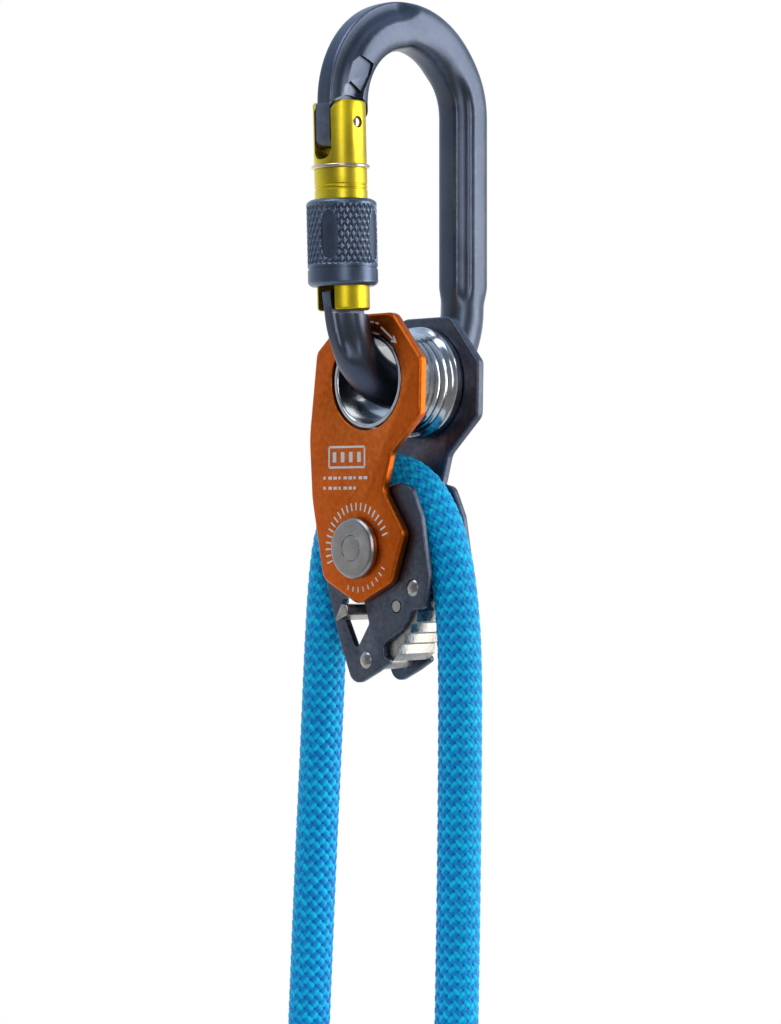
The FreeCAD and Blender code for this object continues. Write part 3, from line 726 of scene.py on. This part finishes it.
def sleeve_radius(down, theta):
    """Outer radius at a depth below the sleeve's top, round the whole sleeve."""
    edge = min(down, SLEEVE_LEN - down)
    rim = SLEEVE_R - RIM_ROUND * max(0.0, 1 - edge / RIM_ROUND) ** 2
    smooth = np.full(len(theta), rim)
    if GROOVE_FROM < down < GROOVE_TO:
        smooth -= GROOVE_DEPTH
    u = theta * KNURL_STARTS / (2 * np.pi)
    v = down / KNURL_PITCH

    def tent(w):
        return 1 - np.abs(2 * (w - np.floor(w)) - 1)

    height = np.clip(1.5 * np.minimum(tent(u + v / 2), tent(u - v / 2)), 0, 1)
    inside = np.clip(min(down - KNURL_FROM, KNURL_TO - down) / 0.35, 0, 1)
    knurled = smooth - inside * KNURL_DEPTH * (1 - height)
    turn = np.degrees(theta) - FLAT_TURN_DEG
    turn = (turn + 45.0) % 90.0 - 45.0
    across = np.abs(turn / FLAT_HALF_DEG) ** FLAT_SQUARENESS
    oval = across + abs((down - FLAT_MIDDLE) / FLAT_HALF_TALL) ** FLAT_SQUARENESS
    flat = (SLEEVE_R - FLAT_DEPTH) * np.ones(len(theta))
    return np.where(oval < 1, np.minimum(flat, smooth), np.where(oval < 1.12, smooth - 0.12, knurled))


def make_sleeve():
    theta = 2 * np.pi * np.arange(SLEEVE_AROUND) / SLEEVE_AROUND
    downs = list(np.arange(0, SLEEVE_LEN, SLEEVE_STEP)) + [SLEEVE_LEN]
    rings = [(d, sleeve_radius(d, theta)) for d in downs]
    inner = np.full(SLEEVE_AROUND, SLEEVE_BORE)
    rings += [(SLEEVE_LEN, inner + 0.25), (SLEEVE_LEN - 0.25, inner), (0.25, inner), (0.0, inner + 0.25)]
    down_axis = Vector((0, math.sin(LEAN), -math.cos(LEAN)))
    across = Vector((0, math.cos(LEAN), math.sin(LEAN)))
    pin = Vector((0, PIN[0], PIN[1]))
    verts = []
    for down, radii in rings:
        centre = pin + down_axis * (SLEEVE_TOP + down)
        for t, r in zip(theta, radii):
            # The angle is measured from straight ahead of the plates, towards +X.
            p = centre + float(r) * (math.sin(t) * Vector((1, 0, 0)) - math.cos(t) * across)
            verts.append(world(p.x, p.y, p.z))
    faces = []
    count = len(rings)
    for i in range(count):
        n = (i + 1) % count
        for j in range(SLEEVE_AROUND):
            k = (j + 1) % SLEEVE_AROUND
            here, there = i * SLEEVE_AROUND, n * SLEEVE_AROUND
            faces.append((here + j, there + j, there + k, here + k))
    mesh = mesh_from("sleeve", verts, faces)
    outward_normals(mesh)
    mark_edges(mesh)
    shade(mesh, 50.0)
    obj = add_object("knurled_sleeve", mesh, "sleeve", SLEEVE_BLUE)
    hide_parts("lock_sleeve")


make_sleeve()


# ---- roller ---------------------------------------------------------------------------------
ROLLER_FRONT = -8.8
ROLLER_REAR = 8.95
ROLLER_BORE = 11.4
RIM_R = 14.5
WAIST_R = 12.3
RIDGE = 0.12
RIDGE_COUNT = 7


def make_roller():
    """The eye's roller: a rounded rim at each end and fine turned steps over its waist."""
    front = ROLLER_FRONT
    profile = [(front, ROLLER_BORE), (front, RIM_R - 0.5), (front + 0.15, RIM_R - 0.15),
               (front + 0.5, RIM_R), (front + 1.1, RIM_R - 0.05), (front + 1.4, RIM_R - 0.5)]
    rear = ROLLER_REAR
    start, end = front + 1.8, rear - 3.4
    middle = (start + end) / 2
    for i in range(RIDGE_COUNT * 4 + 1):
        y = start + (end - start) * i / (RIDGE_COUNT * 4)
        saddle = WAIST_R + 1.2 * abs((y - middle) / (end - middle)) ** 2.4
        profile.append((y, saddle + RIDGE * math.cos(2 * math.pi * i / 4)))
    profile += [(rear - 3.1, RIM_R - 0.65), (rear - 2.8, RIM_R - 0.2), (rear - 2.3, RIM_R),
                (rear - 0.5, RIM_R), (rear - 0.15, RIM_R - 0.15), (rear, RIM_R - 0.5),
                (rear, ROLLER_BORE)]
    mesh = mesh_from("roller", *revolve(profile, EYE))
    outward_normals(mesh)
    mark_edges(mesh)
    shade(mesh, 28.0)
    obj = add_object("turned_roller", mesh, "roller", CHROME)
    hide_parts("eye_roller")


make_roller()


# ---- marks on the front plate ---------------------------------------------------------------
MARK_FACE = -11.8
MARK_RISE = 0.03
AXLE_MARKS = (-3.1, -42.5)
DASH_RING_R = 14.9


def bar_mark(start, end, width):
    """The four corners of a straight stroke."""
    start, end = np.array(start, float), np.array(end, float)
    along = (end - start) / np.linalg.norm(end - start)
    side = np.array([-along[1], along[0]]) * width / 2
    return [tuple(start + side), tuple(end + side), tuple(end - side), tuple(start - side)]


def tick_ring(radius_from, radius_to, degrees, width):
    marks = []
    for d in degrees:
        a = math.radians(d)
        ray = np.array([math.cos(a), math.sin(a)])
        middle = np.array(AXLE_MARKS)
        marks.append(bar_mark(middle + ray * radius_from, middle + ray * radius_to, width))
    return marks


def make_marks():
    """Plain strokes only: an arrow, dashes, a box emblem and ticks about the axle."""
    strokes = []
    tail, tip = np.array([5.5, 13.3]), np.array([11.2, 9.0])
    along = (tip - tail) / np.linalg.norm(tip - tail)
    side = np.array([-along[1], along[0]])
    strokes.append(bar_mark(tail, tip - along * 1.6, 0.45))
    strokes.append([tuple(tip), tuple(tip - along * 2.0 + side), tuple(tip - along * 2.0 - side)])
    for i in range(7):
        a = 116.0 - i * 7.0
        ray = np.array([math.cos(math.radians(a)), math.sin(math.radians(a))])
        turn = np.array([ray[1], -ray[0]])
        strokes.append(bar_mark(ray * DASH_RING_R - turn * 0.6, ray * DASH_RING_R + turn * 0.6, 0.5))
    left, right, low, high = -13.4, -0.4, -21.9, -16.7
    corners = [(left, low), (right, low), (right, high), (left, high)]
    for i in range(4):
        strokes.append(bar_mark(corners[i], corners[(i + 1) % 4], 0.55))
    for i in range(4):
        x = left + 2.0 + i * 3.0
        strokes.append(bar_mark((x, low + 1.3), (x, high - 1.3), 1.3))
    for z, steps in ((-24.6, 9), (-27.2, 7)):
        for i in range(steps):
            x = -15.5 + i * 1.85
            strokes.append(bar_mark((x, z), (x + (1.3 if (i * 5) % 3 else 0.8), z), 0.75))
    strokes += tick_ring(9.6, 11.6, range(20, 208, 9), 0.45)
    strokes += tick_ring(9.9, 11.2, range(252, 336, 10), 0.4)
    verts, faces = [], []
    for stroke in strokes:
        base = len(verts)
        count = len(stroke)
        for y in (MARK_FACE + 0.01, MARK_FACE - MARK_RISE):
            verts += [world(x, y, z) for x, z in stroke]
        faces.append(tuple(base + count + i for i in range(count)))
        faces.append(tuple(base + i for i in range(count))[::-1])
        for i in range(count):
            k = (i + 1) % count
            faces.append((base + i, base + k, base + count + k, base + count + i))
    mesh = mesh_from("plate_marks", verts, faces)
    outward_normals(mesh)
    add_object("plate_marks", mesh, "front_plate", MARK)


make_marks()

# ---- CAD nodes carried over with softened edges -----------------------------------------------
def polish(node, body, material, width=0.18, segments=3, angle=30.0, smooth=40.0):
    """A copy of a CAD solid with its hard edges rounded, standing for the node."""
    source = frame["nodes"][node]
    mesh = source.data.copy()
    mesh.name = node + "_finished"
    for name in [a.name for a in mesh.color_attributes]:
        mesh.color_attributes.remove(mesh.color_attributes[name])
    bm = bmesh.new()
    bm.from_mesh(mesh)
    bmesh.ops.remove_doubles(bm, verts=bm.verts, dist=0.000002)
    bmesh.ops.dissolve_limit(bm, angle_limit=math.radians(0.4), verts=bm.verts, edges=bm.edges)
    bm.to_mesh(mesh)
    bm.free()
    obj = add_object(node + "_finished", mesh, body, material)
    soften(obj, width, segments, angle, smooth)
    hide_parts(node)
    return obj


POLISHED = [
    ("gate_barrel", "gate", "yellow_anodised", YELLOW, 0.22),
    ("front_plate", "front_plate", "orange_anodised", ORANGE, 0.22),
    ("back_plate", "clamp", "grey_anodised", PLATE_GREY, 0.22),
    ("cam_plate_front", "cam_frame", "grey_anodised", PLATE_GREY, 0.14),
    ("cam_plate_rear", "cam_frame", "grey_anodised", PLATE_GREY, 0.14),
    ("toothed_cam", "cam_frame", "cast_steel", CAST, 0.16),
    ("catch_bar", "catch", "cast_steel", CAST, 0.16),
    ("eye_liner", "clamp", "polished_steel", CHROME, 0.12),
    ("rope_sheave", "sheave", "grey_anodised", PLATE_GREY, 0.15),
]
for node, body, slot, material, width in POLISHED:
    polish(node, body, material, width)

polish("axle_cap", "clamp", CAP_STEEL, width=0.10, angle=15.0, smooth=18.0)
polish("main_axle", "clamp", CAP_STEEL, width=0.10, angle=15.0, smooth=18.0)

CARRIED = {
    "gate_plunger": RIVET,
    "gate_spring": WIRE,
    "stop_ring": WIRE,
    "axle_bush": BRONZE,
    "washer_front": POLYMER,
    "washer_rear": POLYMER,
    "cam_spring": WIRE,
    "cam_rivet_upper": RIVET,
    "cam_rivet_lower": RIVET,
    "cam_spacer_lower": CAST,
    "cam_pin": RIVET,
    "rope_end_left": SEAL,
    "rope_end_right": SEAL,
}
for node, material in CARRIED.items():
    obj = frame["nodes"][node]
    obj.data.materials.clear()
    obj.data.materials.append(material)


# ---- light and floor ------------------------------------------------------------------------
# How bright the room is on the camera's side of the clamp and beyond it, in reflections.
ROOM_FRONT = 0.28
ROOM_BACK = 1.25


def studio_world():
    """A white backdrop for the camera, and a softer room, brighter behind, for everything else."""
    bpy.context.scene.view_settings.view_transform = "Standard"
    world = bpy.data.worlds.new("studio")
    bpy.context.scene.world = world
    world.use_nodes = True
    tree = world.node_tree
    tree.nodes.clear()
    out = tree.nodes.new("ShaderNodeOutputWorld")
    seen = tree.nodes.new("ShaderNodeBackground")
    seen.inputs["Color"].default_value = (1, 1, 1, 1)
    seen.inputs["Strength"].default_value = 1.0
    room = tree.nodes.new("ShaderNodeBackground")
    where = tree.nodes.new("ShaderNodeTexCoord")
    ahead = tree.nodes.new("ShaderNodeVectorMath")
    ahead.operation = "DOT_PRODUCT"
    ahead.inputs[1].default_value = (-math.sin(CAMERA_AZIMUTH), math.cos(CAMERA_AZIMUTH), 0.0)
    link(tree, where.outputs["Generated"], ahead.inputs[0])
    split = tree.nodes.new("ShaderNodeSeparateXYZ")
    link(tree, where.outputs["Generated"], split.inputs["Vector"])
    higher = ramp(tree, split.outputs["Z"], -0.3, 0.6, 0.0, 1.0)
    link(tree, mix(tree, higher, (1.0, 0.98, 0.96), (0.62, 0.78, 1.0)), room.inputs["Color"])
    brightness = ramp(tree, ahead.outputs["Value"], -0.6, 0.8, ROOM_FRONT, ROOM_BACK)
    link(tree, brightness, room.inputs["Strength"])
    path = tree.nodes.new("ShaderNodeLightPath")
    choose = tree.nodes.new("ShaderNodeMixShader")
    link(tree, path.outputs["Is Camera Ray"], choose.inputs["Fac"])
    link(tree, room.outputs["Background"], choose.inputs[1])
    link(tree, seen.outputs["Background"], choose.inputs[2])
    link(tree, choose.outputs["Shader"], out.inputs["Surface"])


def softbox(name, azimuth, elevation, distance, width, height, power, colour):
    """A rectangular light aimed at the clamp; azimuth is measured as the camera's is."""
    data = bpy.data.lights.new(name, "AREA")
    data.shape = "RECTANGLE"
    data.size = width
    data.size_y = height
    data.energy = power
    data.color = colour
    light = bpy.data.objects.new(name, data)
    bpy.context.scene.collection.objects.link(light)
    a, e = math.radians(azimuth), math.radians(elevation)
    away = Vector((math.sin(a) * math.cos(e), -math.cos(a) * math.cos(e), math.sin(e)))
    target = EYE + Vector((0, 0, -0.02))
    light.location = target + away * distance
    light.rotation_euler = away.to_track_quat("Z", "Y").to_euler()


studio_world()
softbox("right_box", 45 + 88, 6, 0.75, 0.36, 0.95, 4.6, (1.0, 0.97, 0.94))
softbox("front_box", 45 + 6, 16, 0.95, 0.24, 0.70, 1.9, (1.0, 1.0, 1.0))
softbox("top_box", 45 - 50, 68, 0.75, 0.5, 0.5, 2.4, (0.80, 0.88, 1.0))

FLOOR_GAP = 0.02
FLOOR_RADIUS = 0.17


def make_floor():
    """A thin round pale floor under the rope's ends."""
    low = min(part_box("rope_end_left")[0].z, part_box("rope_end_right")[0].z) - FLOOR_GAP
    profile = [(0.0, FLOOR_RADIUS), (-0.002, FLOOR_RADIUS + 0.002), (-0.006, FLOOR_RADIUS + 0.002),
               (-0.008, FLOOR_RADIUS)]
    verts = []
    around = 96
    for z, r in profile:
        for j in range(around):
            a = 2 * math.pi * j / around
            verts.append((r * math.cos(a), r * math.sin(a), low + z))
    mesh = mesh_from("floor", verts, tube_faces(len(profile), around))
    outward_normals(mesh)
    floor = bpy.data.objects.new("floor", mesh)
    bpy.context.scene.collection.objects.link(floor)
    material, tree, shader = nodes_of("floor")
    shader.inputs["Roughness"].default_value = 0.7
    pale = mix(tree, noise(tree, 30.0), (0.78, 0.78, 0.77), (0.86, 0.86, 0.85))
    link(tree, pale, shader.inputs["Base Color"])
    mesh.materials.append(material)


make_floor()
